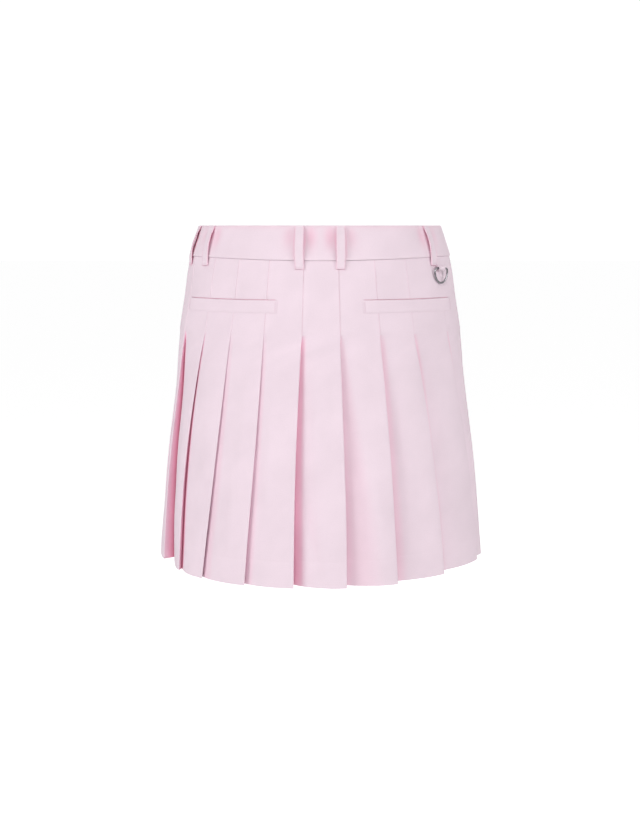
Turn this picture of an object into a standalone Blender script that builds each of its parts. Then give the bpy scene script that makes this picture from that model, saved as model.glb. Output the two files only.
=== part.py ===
"""Pleated skort, hollow as if it were worn, without its wearer.

The origin is the centre of the waist at the waistband's top edge. +Z is up, the back of the
garment faces -Y and the wearer's right is +X. Distances are in metres. A place on the garment
is given by its drop below the waist's top edge, its arc along the girth from the centre back
(+ towards the wearer's right) and its lift outwards from the garment's form.
"""
import math

import bmesh
import bpy
import numpy as np
from mathutils import Vector

# Driving sizes
GAP = 0.0003             # clearance between pieces that are sewn or lie together
CLOTH = 0.0011           # twill of the skirt and of the shorts
BAND_HEIGHT = 0.0334     # waistband at the sides and front
BAND_DIP = 0.0033        # how much taller the waistband is at the centre back
BAND_INSIDE = -0.0017    # lift of the waistband's inner face
BAND_OUTSIDE = 0.0013    # lift of its outer face
BAND_ROWS = (0.0, 0.33, 0.67, 1.0)  # shares of the waistband's height
BAND_LAP = 0.012         # each side of the centre front, where the two ends overlap
RELEASE = 0.113          # drop at which the stitched pleats open
HEM = 0.368              # drop of the skirt's hem
FOLD_RADIUS = 0.0016     # how far a pressed fold is rounded
PLEAT_GROWTH = 0.8       # exponent: pleats open fast below the release, then more slowly
VALLEY_LEAD = 0.0036     # where a pleat begins, its valley lies this far past the fold
TUCK_SHARE = 0.36        # share of the pleats' length in which the valleys take up their tuck

# The garment's form: drop, half-width and half-depth
FORM = (
    (0.000, 0.1325, 0.0900),
    (0.037, 0.1440, 0.1010),
    (0.080, 0.1505, 0.1100),
    (0.113, 0.1555, 0.1170),
    (0.172, 0.1610, 0.1260),
    (0.252, 0.1705, 0.1390),
    (0.368, 0.1800, 0.1520),
)

# One row a knife pleat. "release" and "hem" are the fold's arc from the centre back there and
# "bow" is how far its middle strays from a straight line. "depth" is how far its valley lies
# inside the fold at the hem, and "tuck" is how far the valley is hidden behind the fold. All in
# millimetres. "ease" says how fast the next panel comes out again: 1 is a straight slope.
PLEATS = (
    # release,   hem,  bow, depth, tuck, ease
    (-410.5, -499.0, -5.8, 15.0, 4.0, 1.5),
    (-371.5, -450.0, -5.3, 15.0, 4.0, 1.5),
    (-333.0, -403.0, -4.7, 14.0, 4.0, 1.5),
    (-296.0, -358.0, -4.2, 14.0, 5.0, 1.5),
    (-259.0, -313.0, -3.6, 13.0, 5.0, 1.5),
    (-222.0, -272.0, -3.5, 12.0, 5.0, 1.5),
    (-175.0, -211.0, -9.0, 14.0, 3.0, 1.5),
    (-132.6, -170.4, -8.1, 7.0, 5.0, 2.5),
    (-97.8, -132.5, -0.4, 13.0, 6.0, 2.8),
    (-59.5, -79.8, 0.6, 14.0, 4.5, 2.8),
    (-19.1, -27.9, -1.3, 17.0, 3.0, 2.0),
    (20.6, 27.6, 0.8, 15.0, 3.0, 1.8),
    (63.0, 82.7, 1.8, 15.0, 5.0, 1.5),
    (103.0, 141.5, 5.6, 14.0, 5.0, 1.5),
    (153.5, 214.0, 8.0, 13.0, 5.0, 1.5),
    (190.0, 254.0, 4.0, 12.0, 5.0, 1.5),
    (223.0, 289.0, 3.4, 12.0, 5.0, 1.5),
    (258.0, 326.0, 3.7, 13.0, 5.0, 1.5),
    (295.0, 366.5, 4.2, 14.0, 5.0, 1.5),
    (332.5, 409.0, 4.7, 14.0, 4.0, 1.5),
    (371.5, 453.0, 5.3, 15.0, 4.0, 1.5),
    (410.5, 499.0, 5.8, 15.0, 4.0, 1.5),
)
YOKE_DROPS = (0.060, 0.088)
SKIRT_DROPS = (0.129, 0.152, 0.184, 0.224, 0.270, 0.319, HEM)
PANEL_STEPS = (0.10, 0.32, 0.64)  # places of a panel's points between its two folds
STITCHED_STEPS = (-1.0, 0.0, 0.8, 1.5, 2.2, 3.0, 3.8)  # a stitched fold's points, in radii
SEAM_POINT = 3                   # the point of a pleat, hidden behind its fold, that a seam takes

# Panels of the skirt: name and the pleats inside which its two seams lie
PANELS = (
    ("skirt_back_left", 5, 11),
    ("skirt_back_right", 11, 16),
    ("skirt_front_right", 16, 21),
    ("skirt_front_left", 21, 27),
)

# Belt loops: name, degrees from the centre back at the top and at the bottom
LOOPS = (
    ("belt_loop_back_left", -9.2, -8.4),
    ("belt_loop_back_right", 9.2, 8.4),
    ("belt_loop_side_back_left", -59.6, -57.6),
    ("belt_loop_side_back_right", 58.0, 57.0),
    ("belt_loop_side_left", -77.0, -76.0),
    ("belt_loop_side_right", 112.0, 111.0),
    ("belt_loop_front_left", -150.0, -151.0),
    ("belt_loop_front_right", 150.0, 151.0),
)
LOOP_WIDTH = 0.0096
LOOP_THICK = 0.0015
LOOP_BULGE = 0.0032      # space left between the loop and the waistband
LOOP_TAIL = 0.0088       # how far the loop reaches below the waistband
LOOP_VIEW = (
    # drop on the waistband, share of the bulge there
    (0.0004, 0.00),
    (0.0036, 0.10),
    (0.0100, 0.75),
    (0.0185, 1.00),
    (0.0265, 0.60),
)
LOOP_ENDS = ((-0.0008, 0.05), (0.0014, 0.00))  # the same, with the drop from the band's seam
LOOP_SEWN = 0.0046       # how far below the seam the loop lies on the yoke

WELT_TOP, WELT_HEIGHT, WELT_THICK = 0.0777, 0.0134, 0.0012
WELT_INNER, WELT_OUTER = 17.2, 68.5      # degrees from the centre back
WELT_COLUMNS = 15
FLY_WIDTH, FLY_END, FLY_THICK = 0.032, 0.111, 0.0012
FLY_ROWS, FLY_COLUMNS = 6, 5
BUTTON_RADIUS, BUTTON_THICK = 0.0075, 0.0028
BUTTON_SIDES = 24
BUTTON_PROFILE = (
    # shares of the radius and of the thickness
    (0.80, 0.00),
    (1.00, 0.25),
    (1.00, 0.75),
    (0.84, 1.00),
    (0.62, 0.75),
)

# D-ring on its cloth tab below the loop at the back right
RING_WIDTH, RING_HEIGHT, RING_WIRE = 0.0205, 0.0178, 0.0020
RING_CORNER = 0.0035
RING_SIDES, CORNER_POINTS, BOW_POINTS = 8, 5, 17
RING_DROP, RING_ANGLE, RING_LIFT = 0.0457, 60.0, 0.0046  # middle of the straight bar
RING_YAW = 40.0          # degrees that the bar is turned from +X, nearly along the cloth
TAB_WIDTH, TAB_THICK = 0.0086, 0.0012
TUNNEL_RADIUS = 0.00135  # inside of the tab's fold, round the bar
TAB_TAIL = 0.0030        # length of the tab above the bar's middle
TAB_TURN = (180.0, 476.0)  # degrees round the bar through which the tab is folded
TAB_POINTS = 15

# Shorts under the skirt, front and back of each leg. "share" runs from 0, one half of the hips,
# to 1, a closed leg;
# "inset" is how far the shorts lie inside the form and "inner" how far from the middle.
SHORTS = (
    # drop, inset, share, inner
    (0.034, 0.0022, 0.00, 0.0000),
    (0.060, 0.0040, 0.00, 0.0000),
    (0.100, 0.0070, 0.00, 0.0000),
    (0.145, 0.0160, 0.00, 0.0000),
    (0.180, 0.0230, 0.35, 0.0000),
    (0.205, 0.0270, 0.65, 0.0000),
    (0.220, 0.0295, 0.85, 0.0000),
    (0.229, 0.0310, 0.95, 0.0000),
    (0.235, 0.0320, 1.00, 0.0000),
    (0.255, 0.0350, 1.00, 0.0030),
    (0.285, 0.0400, 1.00, 0.0060),
    (0.318, 0.0460, 1.00, 0.0090),
)
SHORTS_COLUMNS = 11
SHORTS_PANELS = (
    # name, +1 for the wearer's right, +1 for the front
    ("shorts_back_left", -1, -1),
    ("shorts_back_right", 1, -1),
    ("shorts_front_left", -1, 1),
    ("shorts_front_right", 1, 1),
)

PINK = (0.83, 0.69, 0.76)
STEEL = (0.55, 0.55, 0.56)
SHELL = (0.86, 0.80, 0.82)


def clear_scene():
    """Remove every object of the scene."""
    for thing in list(bpy.data.objects):
        bpy.data.objects.remove(thing, do_unlink=True)


def material(name, colour, roughness, metallic=0.0):
    """A Principled material."""
    made = bpy.data.materials.new(name)
    made.use_nodes = True
    shader = made.node_tree.nodes["Principled BSDF"]
    shader.inputs["Base Color"].default_value = (*colour, 1.0)
    shader.inputs["Roughness"].default_value = roughness
    shader.inputs["Metallic"].default_value = metallic
    return made


def add_object(name, points, faces, finish):
    """One named object from points and faces, with its faces turned outwards."""
    mesh = bpy.data.meshes.new(name)
    mesh.from_pydata([tuple(p) for p in points], [], faces)
    mesh.materials.append(finish)
    body = bmesh.new()
    body.from_mesh(mesh)
    bmesh.ops.recalc_face_normals(body, faces=body.faces)
    body.to_mesh(mesh)
    body.free()
    made = bpy.data.objects.new(name, mesh)
    bpy.context.scene.collection.objects.link(made)
    return made


# The form and the places on it

def form_at(drop):
    """Half-width and half-depth of the form at a drop, smooth between the rows of FORM."""
    table = np.array(FORM)
    slopes = np.gradient(table[:, 1:], table[:, 0], axis=0)
    row = int(np.clip(np.searchsorted(table[:, 0], drop) - 1, 0, len(table) - 2))
    span = table[row + 1, 0] - table[row, 0]
    t = float(np.clip((drop - table[row, 0]) / span, 0.0, 1.0))
    start, end = table[row, 1:], table[row + 1, 1:]
    rise = (2 * t ** 3 - 3 * t ** 2 + 1) * start + (3 * t ** 2 - 2 * t ** 3) * end
    bend = (t ** 3 - 2 * t ** 2 + t) * slopes[row] + (t ** 3 - t ** 2) * slopes[row + 1]
    return rise + bend * span


def girth_table(drop):
    """Angles from the centre back and the arc lengths that reach them at a drop."""
    half_width, half_depth = form_at(drop)
    angles = np.linspace(-math.pi, math.pi, 721)
    x, y = half_width * np.sin(angles), -half_depth * np.cos(angles)
    arcs = np.concatenate(([0.0], np.cumsum(np.hypot(np.diff(x), np.diff(y)))))
    return angles, arcs - arcs[-1] / 2


def girth(drop):
    """Length round the form at a drop."""
    return 2 * girth_table(drop)[1][-1]


def on_form(drop, angle, lift):
    """The point at an angle from the centre back, moved out from the form by lift."""
    half_width, half_depth = form_at(drop)
    sine, cosine = math.sin(angle), math.cos(angle)
    normal = Vector((half_depth * sine, -half_width * cosine, 0.0)).normalized()
    return Vector((half_width * sine, -half_depth * cosine, -drop)) + normal * lift


def arc_to_angle(drop, arcs):
    """Angles from the centre back of places given by their arc."""
    angles, lengths = girth_table(drop)
    return np.interp(arcs, lengths, angles)


def seam_drop(angle):
    """Drop of the waistband's lower edge, which dips at the centre back."""
    return BAND_HEIGHT + BAND_DIP * max(0.0, math.cos(angle)) ** 3


def offset_line(line, half, closed=False):
    """The two lines that run beside a flat line, half a wall to each side of it."""
    line = np.asarray(line, dtype=float)
    if closed:
        before, after = np.roll(line, 1, axis=0), np.roll(line, -1, axis=0)
    else:
        before = np.vstack((2 * line[0] - line[1], line[:-1]))
        after = np.vstack((line[1:], 2 * line[-1] - line[-2]))
    into = (line - before) / np.linalg.norm(line - before, axis=1)[:, None]
    away = (after - line) / np.linalg.norm(after - line, axis=1)[:, None]
    tangent = into + away
    tangent /= np.linalg.norm(tangent, axis=1)[:, None]
    normal = np.column_stack((tangent[:, 1], -tangent[:, 0]))
    stretch = 1 / np.clip(np.sum(into * tangent, axis=1), 0.8, 1.0)
    return line + normal * (half * stretch)[:, None], line - normal * (half * stretch)[:, None]


def wall(name, outer, inner, finish):
    """A closed wall between two grids of points that have the same rows and columns."""
    rows, columns = len(outer), len(outer[0])
    points = [p for grid in (outer, inner) for row in grid for p in row]
    under = rows * columns
    faces = []
    for r in range(rows - 1):
        for c in range(columns - 1):
            a, b = r * columns + c, r * columns + c + 1
            d, e = a + columns, b + columns
            faces += [(a, d, e), (a, e, b)]
            faces += [(under + a, under + e, under + d), (under + a, under + b, under + e)]
    border = list(range(columns))
    border += [r * columns + columns - 1 for r in range(1, rows)]
    border += [(rows - 1) * columns + c for c in range(columns - 2, -1, -1)]
    border += [r * columns for r in range(rows - 2, 0, -1)]
    for a, b in zip(border, border[1:] + border[:1]):
        faces.append((a, b, under + b, under + a))
    return add_object(name, points, faces, finish)


# Skirt

def fold_points(corner, before, after, radius):
    """Three points that round a corner, from flat directions before and after it."""
    near, far = corner - radius * before, corner + radius * after
    return [near, 0.25 * near + 0.5 * corner + 0.25 * far, far]


def pleat_line(drop):
    """The whole girth's cloth at a drop, as (arc, lift) points, ten to a pleat."""
    open_share = max(0.0, (drop - RELEASE) / (HEM - RELEASE))
    growth = open_share ** PLEAT_GROWTH
    round_length = girth(drop)
    shrink = min(1.0, round_length / girth(RELEASE)) if drop < RELEASE else 1.0
    tucked = min(1.0, open_share / TUCK_SHARE)
    folds, valleys = [], []
    for release, hem, bow, depth, tuck, _ in PLEATS:
        arc = (1 - open_share) * release * shrink + open_share * hem
        arc = (arc + 4 * open_share * (1 - open_share) * bow) / 1000
        folds.append(np.array((arc, 0.0)))
        past = (1 - tucked) * VALLEY_LEAD - tucked * tuck / 1000
        valleys.append(np.array((arc + past, -growth * depth / 1000)))
    line = []
    flat = np.array((1.0, 0.0))
    count = len(PLEATS)
    for n in range(count):
        fold, valley, ease = folds[n], valleys[n], PLEATS[n][-1]
        next_fold = folds[(n + 1) % count] + (round_length * flat if n == count - 1 else 0.0)
        if growth > 0.0:
            under = valley - fold
            radius = min(FOLD_RADIUS, 0.36 * np.linalg.norm(under))
            under = under / np.linalg.norm(under)
            rise = np.array((next_fold[0] - valley[0], -ease * valley[1]))
            rise /= np.linalg.norm(rise)
            line += fold_points(fold, flat, under, radius)
            line.append((fold + valley) / 2)
            line += fold_points(valley, under, rise, radius)
        else:
            line += [fold + step * FOLD_RADIUS * flat for step in STITCHED_STEPS]
        start = line[-1]
        end = next_fold - FOLD_RADIUS * flat
        for v in PANEL_STEPS:
            lift = start[1] * (1 - v) ** ease
            line.append(np.array((start[0] + v * (end[0] - start[0]), lift)))
    return np.array(line)


def skirt_row(drop, at_seam):
    """Outer and inner points of the skirt's wall all round at a drop or at the waistband."""
    line = pleat_line(drop)
    half_girth = girth(drop) / 2
    arcs = (line[:, 0] + half_girth) % (2 * half_girth) - half_girth
    angles = arc_to_angle(drop, arcs)
    drops = [seam_drop(angle) + GAP if at_seam else drop for angle in angles]
    middle = [on_form(height, angle, lift - CLOTH / 2)
              for height, angle, lift in zip(drops, angles, line[:, 1])]
    sides = offset_line([(p.x, p.y) for p in middle], CLOTH / 2, closed=True)
    return [[Vector((x, y, -height)) for (x, y), height in zip(side, drops)] for side in sides]


def skirt():
    """The four panels of the skirt, which meet inside four of the pleats."""
    per_pleat = len(STITCHED_STEPS) + len(PANEL_STEPS)
    total = len(PLEATS) * per_pleat
    spans = {}
    for name, first, last in PANELS:
        ends = first * per_pleat + SEAM_POINT, last * per_pleat + SEAM_POINT
        spans[name] = [column % total for column in range(ends[0], ends[1] + 1)]
    rows = {name: ([], []) for name in spans}
    for drop in (BAND_HEIGHT, *YOKE_DROPS, RELEASE, *SKIRT_DROPS):
        sides = skirt_row(drop, at_seam=drop == BAND_HEIGHT)
        for name, span in spans.items():
            for grid, side in zip(rows[name], sides):
                row = [side[c].copy() for c in span]
                row[0] += (row[1] - row[0]).normalized() * GAP / 2
                row[-1] += (row[-2] - row[-1]).normalized() * GAP / 2
                grid.append(row)
    for name, (outside, inside) in rows.items():
        wall(name, outside, inside, TWILL)


# Waistband, with its two ends lapped at the centre front

def band_piece(name, columns):
    """A stretch of waistband from columns of (arc at the top, inner lift, outer lift)."""
    half_girth = girth(0.0) / 2
    outer, inner = [], []
    for share in BAND_ROWS:
        outer.append([])
        inner.append([])
        for arc, inside, outside in columns:
            wrapped = (arc + half_girth) % (2 * half_girth) - half_girth
            angle = float(arc_to_angle(0.0, wrapped))
            drop = share * seam_drop(angle)
            outer[-1].append(on_form(drop, angle, outside))
            inner[-1].append(on_form(drop, angle, inside))
    wall(name, outer, inner, TWILL)


def waistband():
    """Back piece and two front pieces; at the front each end is half as thick."""
    half = girth(0.0) / 2
    side = half / 2
    middle = (BAND_INSIDE + BAND_OUTSIDE) / 2
    back = np.linspace(-side + GAP / 2, side - GAP / 2, 41)
    band_piece("waistband_back", [(arc, BAND_INSIDE, BAND_OUTSIDE) for arc in back])
    ends = (
        # name, side, clearance, inner lift and outer lift of its end
        ("waistband_front_right", 1, 0.0, middle + GAP / 2, BAND_OUTSIDE),
        ("waistband_front_left", -1, GAP, BAND_INSIDE, middle - GAP / 2),
    )
    for name, sign, clearance, inside, outside in ends:
        step = half - BAND_LAP - clearance
        whole = np.linspace(side + GAP / 2, step, 19)
        lapped = np.linspace(step + GAP, half + BAND_LAP - 2 * clearance, 5)
        columns = [(sign * arc, BAND_INSIDE, BAND_OUTSIDE) for arc in whole]
        columns += [(sign * arc, inside, outside) for arc in lapped]
        band_piece(name, columns)


# What is sewn on the outside

def patch(name, angles, drops, inside, outside, finish):
    """A piece that lies on the garment, made from its points moved out."""
    outer = [[on_form(drop, angle, outside) for angle in angles] for drop in drops]
    inner = [[on_form(drop, angle, inside) for angle in angles] for drop in drops]
    wall(name, outer, inner, finish)


def angle_across(drop, angle, distance):
    """The angle reached from another by a short distance along the girth."""
    half_width, half_depth = form_at(drop)
    per_radian = math.hypot(half_width * math.cos(angle), half_depth * math.sin(angle))
    return angle + distance / per_radian


def belt_loop(name, top_angle, bottom_angle):
    """A folded strip that stands off the waistband and ends on the yoke below it."""
    seam = seam_drop(math.radians(bottom_angle))
    on_band = BAND_OUTSIDE + GAP + LOOP_THICK / 2
    on_yoke = GAP + LOOP_THICK / 2
    side_view = [(drop, on_band + share * LOOP_BULGE) for drop, share in LOOP_VIEW]
    side_view += [(seam + drop, on_band + share * LOOP_BULGE) for drop, share in LOOP_ENDS]
    side_view += [(seam + LOOP_SEWN, on_yoke), (seam + LOOP_TAIL, on_yoke)]
    inner_line, outer_line = offset_line(side_view, LOOP_THICK / 2)
    grids = []
    for line in (outer_line, inner_line):
        grid = []
        for drop, lift in line:
            share = drop / (seam + LOOP_TAIL)
            angle = math.radians(top_angle + share * (bottom_angle - top_angle))
            across = (-LOOP_WIDTH / 2, 0.0, LOOP_WIDTH / 2)
            grid.append([on_form(drop, angle_across(drop, angle, w), lift) for w in across])
        grids.append(grid)
    wall(name, grids[0], grids[1], TWILL)


def pocket_welt(name, sign):
    """A single welt, sewn over the mouth of a back pocket."""
    angles = [sign * math.radians(a) for a in np.linspace(WELT_INNER, WELT_OUTER, WELT_COLUMNS)]
    drops = [WELT_TOP + share * WELT_HEIGHT for share in (0.0, 0.5, 1.0)]
    patch(name, angles, drops, GAP, GAP + WELT_THICK, TWILL)


def fly_placket():
    """The flat strip over the front opening, between two pleats."""
    angles = [angle_across(FLY_END, math.pi, w)
              for w in np.linspace(-FLY_WIDTH / 2, FLY_WIDTH / 2, FLY_COLUMNS)]
    drops = np.linspace(BAND_HEIGHT + GAP, FLY_END, FLY_ROWS)
    patch("fly_placket", angles, drops, GAP, GAP + FLY_THICK, TWILL)


def waist_button():
    """The button on the waistband's outer end at the centre front."""
    drop = BAND_HEIGHT / 2
    face = on_form(drop, math.pi, BAND_OUTSIDE)
    slope = math.atan2(on_form(BAND_HEIGHT, math.pi, 0.0).y - on_form(0.0, math.pi, 0.0).y,
                       BAND_HEIGHT)
    normal = Vector((0.0, math.cos(slope), math.sin(slope)))
    sides = BUTTON_SIDES
    turned = []
    for radius_share, height_share in BUTTON_PROFILE:
        radius, height = radius_share * BUTTON_RADIUS, height_share * BUTTON_THICK
        for n in range(sides):
            angle = 2 * math.pi * n / sides
            turned.append(Vector((radius * math.cos(angle), radius * math.sin(angle), height)))
    faces = [tuple(range(sides)), tuple(range(len(turned) - sides, len(turned)))]
    for row in range(len(BUTTON_PROFILE) - 1):
        for n in range(sides):
            a, b = row * sides + n, row * sides + (n + 1) % sides
            faces.append((a, b, b + sides, a + sides))
    made = add_object("waist_button", turned, faces, BUTTON)
    made.location = face + normal * GAP
    made.rotation_euler = normal.to_track_quat("Z", "Y").to_euler()


# D-ring and the tab that holds it

def ring_frame():
    """Middle of the ring's bar, the bar's direction and the direction away from the cloth."""
    yaw = math.radians(RING_YAW)
    along = Vector((math.cos(yaw), math.sin(yaw), 0.0))
    away = Vector((math.sin(yaw), -math.cos(yaw), 0.0))
    return on_form(RING_DROP, math.radians(RING_ANGLE), RING_LIFT), along, away


def ring_tab():
    """A strip folded round the ring's bar, with its back end running up to the belt loop."""
    centre, along, away = ring_frame()
    radius = TUNNEL_RADIUS + TAB_THICK / 2
    side_view = [(-radius, TAB_TAIL), (-radius, TAB_TAIL / 2)]
    for angle in np.linspace(*TAB_TURN, TAB_POINTS):
        turn = math.radians(angle)
        side_view.append((radius * math.cos(turn), radius * math.sin(turn)))
    grids = []
    for line in offset_line(side_view, TAB_THICK / 2):
        across = (-TAB_WIDTH / 2, TAB_WIDTH / 2)
        grids.append([[centre + away * o + Vector((0.0, 0.0, z)) + along * w for w in across]
                      for o, z in line])
    wall("ring_tab", grids[0], grids[1], TWILL)


def d_ring():
    """The ring's wire, bent to a straight bar and a round bow that hangs below it."""
    half = (RING_WIDTH - RING_WIRE) / 2
    height = RING_HEIGHT - RING_WIRE
    outline = []
    for angle in np.linspace(90.0, 0.0, CORNER_POINTS):
        turn = math.radians(angle)
        outline.append((half - RING_CORNER * (1 - math.cos(turn)),
                        -RING_CORNER * (1 - math.sin(turn))))
    for angle in np.linspace(0.0, 180.0, BOW_POINTS)[1:-1]:
        turn = math.radians(angle)
        outline.append((half * math.cos(turn),
                        -RING_CORNER - (height - RING_CORNER) * math.sin(turn)))
    outline += [(-x, z) for x, z in reversed(outline[:CORNER_POINTS])]
    sides = RING_SIDES
    centre, along, away = ring_frame()
    points = []
    count = len(outline)
    for n, (x, z) in enumerate(outline):
        before, after = outline[n - 1], outline[(n + 1) % count]
        tangent = Vector((after[0] - before[0], after[1] - before[1])).normalized()
        outward = along * -tangent.y + Vector((0.0, 0.0, tangent.x))
        middle = centre + along * x + Vector((0.0, 0.0, z))
        for k in range(sides):
            turn = 2 * math.pi * (k + 0.5) / sides
            around = outward * math.cos(turn) + away * math.sin(turn)
            points.append(middle - centre + around * (RING_WIRE / 2))
    faces = []
    for n in range(count):
        for k in range(sides):
            a, b = n * sides + k, n * sides + (k + 1) % sides
            c, d = (a + sides) % len(points), (b + sides) % len(points)
            faces.append((a, b, d, c))
    made = add_object("d_ring", points, faces, METAL)
    made.location = centre


# Shorts

def shorts_panel(name, side, face):
    """Hip and leg in one sheet, from the side seam to the middle seam and the inseam."""
    outer, inner = [], []
    for row, (drop, inset, share, inner_gap) in enumerate(SHORTS):
        half_width, half_depth = form_at(drop) - inset
        edge = GAP / 2 + share * CLOTH / 2 + inner_gap
        middle = share * (half_width + edge) / 2
        reach = half_width - middle
        open_angle = math.acos(max(-1.0, (edge - middle) / reach))
        open_angle = min(open_angle, math.pi - GAP / 2 / half_depth)
        line = []
        for turn in np.linspace(GAP / 2 / half_depth, open_angle, SHORTS_COLUMNS):
            line.append((side * (middle + reach * math.cos(turn)),
                         face * half_depth * math.sin(turn)))
        for grid, edge_line in zip((outer, inner), offset_line(line, CLOTH / 2)):
            heights = [-drop] * SHORTS_COLUMNS
            if row == 0:
                heights = [-seam_drop(math.atan2(x, -y)) - 2 * GAP for x, y in edge_line]
            grid.append([Vector((x, y, z)) for (x, y), z in zip(edge_line, heights)])
    wall(name, outer, inner, TWILL)


clear_scene()
TWILL = material("twill", PINK, 0.75)
METAL = material("polished_metal", STEEL, 0.18, 1.0)
BUTTON = material("button", SHELL, 0.35)
waistband()
skirt()
pocket_welt("pocket_welt_left", -1)
pocket_welt("pocket_welt_right", 1)
for loop_name, loop_top, loop_bottom in LOOPS:
    belt_loop(loop_name, loop_top, loop_bottom)
fly_placket()
waist_button()
ring_tab()
d_ring()
for shorts_name, shorts_side, shorts_face in SHORTS_PANELS:
    shorts_panel(shorts_name, shorts_side, shorts_face)
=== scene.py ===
"""Looks of a pale pink pleated skort, hollow as if worn, seen from behind.

The garment hangs from the centre of its waist: +Z is up, the back faces -Y and the wearer's right
is +X. Places on it are given by drop (metres below the waistband's top edge), arc or angle from
the centre back, and lift outwards from the garment's form.
"""
import math

import bpy
import numpy as np
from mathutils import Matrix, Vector


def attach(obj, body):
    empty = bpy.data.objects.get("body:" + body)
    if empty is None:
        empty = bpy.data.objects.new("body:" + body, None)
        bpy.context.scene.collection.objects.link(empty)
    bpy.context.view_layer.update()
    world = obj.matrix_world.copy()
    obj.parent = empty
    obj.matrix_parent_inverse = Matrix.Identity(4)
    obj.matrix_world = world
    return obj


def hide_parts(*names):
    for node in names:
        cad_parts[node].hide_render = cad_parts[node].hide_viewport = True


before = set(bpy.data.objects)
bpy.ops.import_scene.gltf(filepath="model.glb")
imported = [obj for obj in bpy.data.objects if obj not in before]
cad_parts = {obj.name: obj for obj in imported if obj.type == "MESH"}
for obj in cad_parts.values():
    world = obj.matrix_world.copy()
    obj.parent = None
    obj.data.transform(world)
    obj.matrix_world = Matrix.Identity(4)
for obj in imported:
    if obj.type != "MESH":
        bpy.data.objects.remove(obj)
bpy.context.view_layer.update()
scene = bpy.context.scene


def set_inputs(node, values):
    """Give inputs of a node their values, by name or number, and return the node."""
    for socket, value in values.items():
        node.inputs[socket].default_value = value
    return node


def colour_ramp(nodes, *tones):
    """A new colour ramp with its tones, each a place and a colour."""
    ramp = nodes.new("ShaderNodeValToRGB")
    while len(ramp.color_ramp.elements) < len(tones):
        ramp.color_ramp.elements.new(0.5)
    for element, (place, colour) in zip(ramp.color_ramp.elements, tones):
        element.position = place
        element.color = (*colour, 1.0)
    return ramp


def new_finish(name, values):
    """A new material and its shader, with the values of the shader's inputs."""
    made = bpy.data.materials.new(name)
    made.use_nodes = True
    return made, set_inputs(made.node_tree.nodes["Principled BSDF"], values)


def mottle(finish, shader, scale, first, second):
    """Noise that turns a finish's colour from one tone to another; returns the noise."""
    nodes, links = finish.node_tree.nodes, finish.node_tree.links
    noise = set_inputs(nodes.new("ShaderNodeTexNoise"), {"Scale": scale})
    tones = colour_ramp(nodes, (0.0, first), (1.0, second))
    links.new(noise.outputs["Fac"], tones.inputs["Fac"])
    links.new(tones.outputs["Color"], shader.inputs["Base Color"])
    return noise


# ---- Camera and studio ---------------------------------------------------------------------------
# A camera straight behind the garment, level with its waist and tipped down to its middle. White
# surroundings, a pale floor a metre below the waist and large soft lamps, the main one above the
# camera.
CAMERA_DISTANCE = 1.58
CAMERA_PITCH = 2.3
CAMERA_LENS = 63.05
CAMERA_SHIFT = -0.1523   # the view is cropped from a taller one
FLOOR_DROP = 1.0
FLOOR_RADIUS = 40.0
WHITE = (1.0, 1.0, 1.0, 1.0)

camera_data = bpy.data.cameras.new("camera")
camera_data.lens = CAMERA_LENS
camera_data.clip_end = 200.0
camera_data.shift_y = CAMERA_SHIFT
camera = bpy.data.objects.new("camera", camera_data)
camera.location = (0.0, -CAMERA_DISTANCE, 0.0)
camera.rotation_euler = (math.radians(90.0 - CAMERA_PITCH), 0.0, 0.0)
scene.collection.objects.link(camera)
scene.camera = camera
scene.view_settings.view_transform = "Standard"

world = bpy.data.worlds.new("studio")
world.use_nodes = True
scene.world = world
world_nodes = world.node_tree.nodes
world_nodes.clear()
world_out = world_nodes.new("ShaderNodeOutputWorld")
surround = set_inputs(world_nodes.new("ShaderNodeBackground"), {"Strength": 0.49})
white = set_inputs(world_nodes.new("ShaderNodeBackground"), {"Color": WHITE, "Strength": 1.05})
direction = world_nodes.new("ShaderNodeTexCoord")
height = world_nodes.new("ShaderNodeSeparateXYZ")
sky = colour_ramp(world_nodes, (0.30, (0.42, 0.42, 0.43)), (0.85, WHITE[:3]))
raise_height = set_inputs(world_nodes.new("ShaderNodeMapRange"), {"From Min": -1.0})
seen = world_nodes.new("ShaderNodeLightPath")
pick = world_nodes.new("ShaderNodeMixShader")
for source, target in ((direction.outputs["Generated"], height.inputs["Vector"]),
                       (height.outputs["Z"], raise_height.inputs["Value"]),
                       (raise_height.outputs["Result"], sky.inputs["Fac"]),
                       (sky.outputs["Color"], surround.inputs["Color"]),
                       (seen.outputs["Is Camera Ray"], pick.inputs["Fac"]),
                       (surround.outputs["Background"], pick.inputs[1]),
                       (white.outputs["Background"], pick.inputs[2]),
                       (pick.outputs["Shader"], world_out.inputs["Surface"])):
    world.node_tree.links.new(source, target)


def soft_lamp(name, place, size, power):
    """A square area lamp that looks at the middle of the garment."""
    data = bpy.data.lights.new(name, "AREA")
    data.shape = "SQUARE"
    data.size = size
    data.energy = power
    lamp = bpy.data.objects.new(name, data)
    lamp.location = place
    lamp.rotation_euler = (Vector((0.0, 0.0, -0.18)) - Vector(place)).to_track_quat("-Z", "Y").to_euler()
    scene.collection.objects.link(lamp)


soft_lamp("key_lamp", (0.0, -2.5, 1.1), 0.8, 14.0)
soft_lamp("right_lamp", (2.2, -1.5, 0.7), 1.4, 23.5)
soft_lamp("left_lamp", (-2.1, -1.5, 0.6), 1.4, 27.5)
soft_lamp("front_lamp", (0.4, 2.6, 1.4), 1.6, 26.0)


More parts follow.
